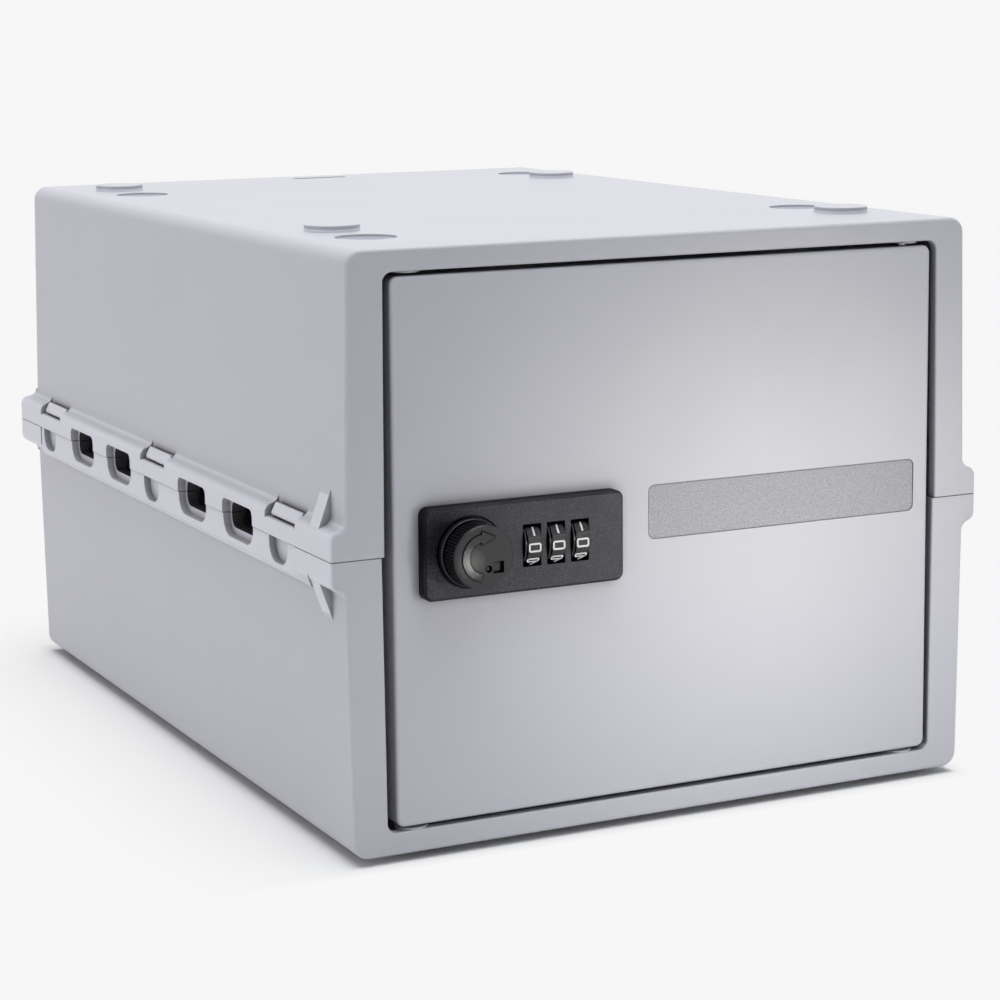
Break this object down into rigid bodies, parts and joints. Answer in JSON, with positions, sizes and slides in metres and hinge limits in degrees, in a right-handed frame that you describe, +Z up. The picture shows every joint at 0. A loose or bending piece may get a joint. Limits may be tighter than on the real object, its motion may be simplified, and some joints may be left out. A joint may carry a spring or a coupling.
{
  "type": "liquor bottle lock box",
  "caption": "Lockable plastic storage box of clipped half shells, with a pivoting front door, a combination cam lock turned by a knob, and pads and recesses for stacking.",
  "frame": {"origin": "on the ground, under the centre of the whole box, knob included", "axes": "+X to the right seen from the front, +Y to the back, +Z up"},
  "size_m": [0.2088, 0.2982, 0.17],
  "materials": {
    "shell_plastic": "satin moulded light grey plastic",
    "lock_plastic": "black moulded plastic, fine grain on the face",
    "wheel_plastic": "black plastic with white numbers",
    "sleeve_metal": "turned brass",
    "zinc_steel": "zinc-plated",
    "bright_steel": "bright steel"
  },
  "bodies": {
    "case": {"upper_shell": "shell_plastic", "lower_shell": "shell_plastic"},
    "door": {"door_panel": "shell_plastic", "hinge_pin_upper": "bright_steel", "hinge_pin_lower": "bright_steel", "lock_face_plate": "lock_plastic", "lock_housing": "lock_plastic", "lock_back_cover": "lock_plastic", "cover_screws": "bright_steel", "fixing_screws": "bright_steel", "wheel_axle": "bright_steel", "detent_spring": "bright_steel"},
    "knob_group": {"knob": "lock_plastic", "knob_spindle": "zinc_steel", "spindle_clip": "bright_steel", "lock_cam": "zinc_steel", "cam_washer": "bright_steel", "cam_nut": "bright_steel"},
    "fence": {"locking_fence": "zinc_steel"},
    "wheel_1": {"code_wheel_1": "wheel_plastic", "code_sleeve_1": "sleeve_metal"},
    "wheel_2": {"code_wheel_2": "wheel_plastic", "code_sleeve_2": "sleeve_metal"},
    "wheel_3": {"code_wheel_3": "wheel_plastic", "code_sleeve_3": "sleeve_metal"}
  },
  "joints": [
    {"name": "door_hinge", "type": "hinge", "parent": "case", "child": "door", "pos_m": [0.08, -0.1311, 0.085], "axis": [0, 0, 1], "range_deg": [0, 110]},
    {"name": "knob_turn", "type": "hinge", "parent": "door", "child": "knob_group", "pos_m": [-0.06535, -0.1401, 0.085], "axis": [0, 1, 0], "range_deg": [-90, 0]},
    {"name": "wheel_spin_1", "type": "hinge", "parent": "door", "child": "wheel_1", "pos_m": [-0.04655, -0.1339, 0.085], "axis": [1, 0, 0], "continuous": true},
    {"name": "wheel_spin_2", "type": "hinge", "parent": "door", "child": "wheel_2", "pos_m": [-0.03915, -0.1339, 0.085], "axis": [1, 0, 0], "continuous": true},
    {"name": "wheel_spin_3", "type": "hinge", "parent": "door", "child": "wheel_3", "pos_m": [-0.03175, -0.1339, 0.085], "axis": [1, 0, 0], "continuous": true},
    {"name": "fence_slide", "type": "slide", "parent": "door", "child": "fence", "axis": [1, 0, 0], "range_m": [-0.00151, 0]}
  ],
  "couplings": [
    {"joint": "fence_slide", "follows": "knob_turn", "m_per_rad": 0.00095493}
  ]
}
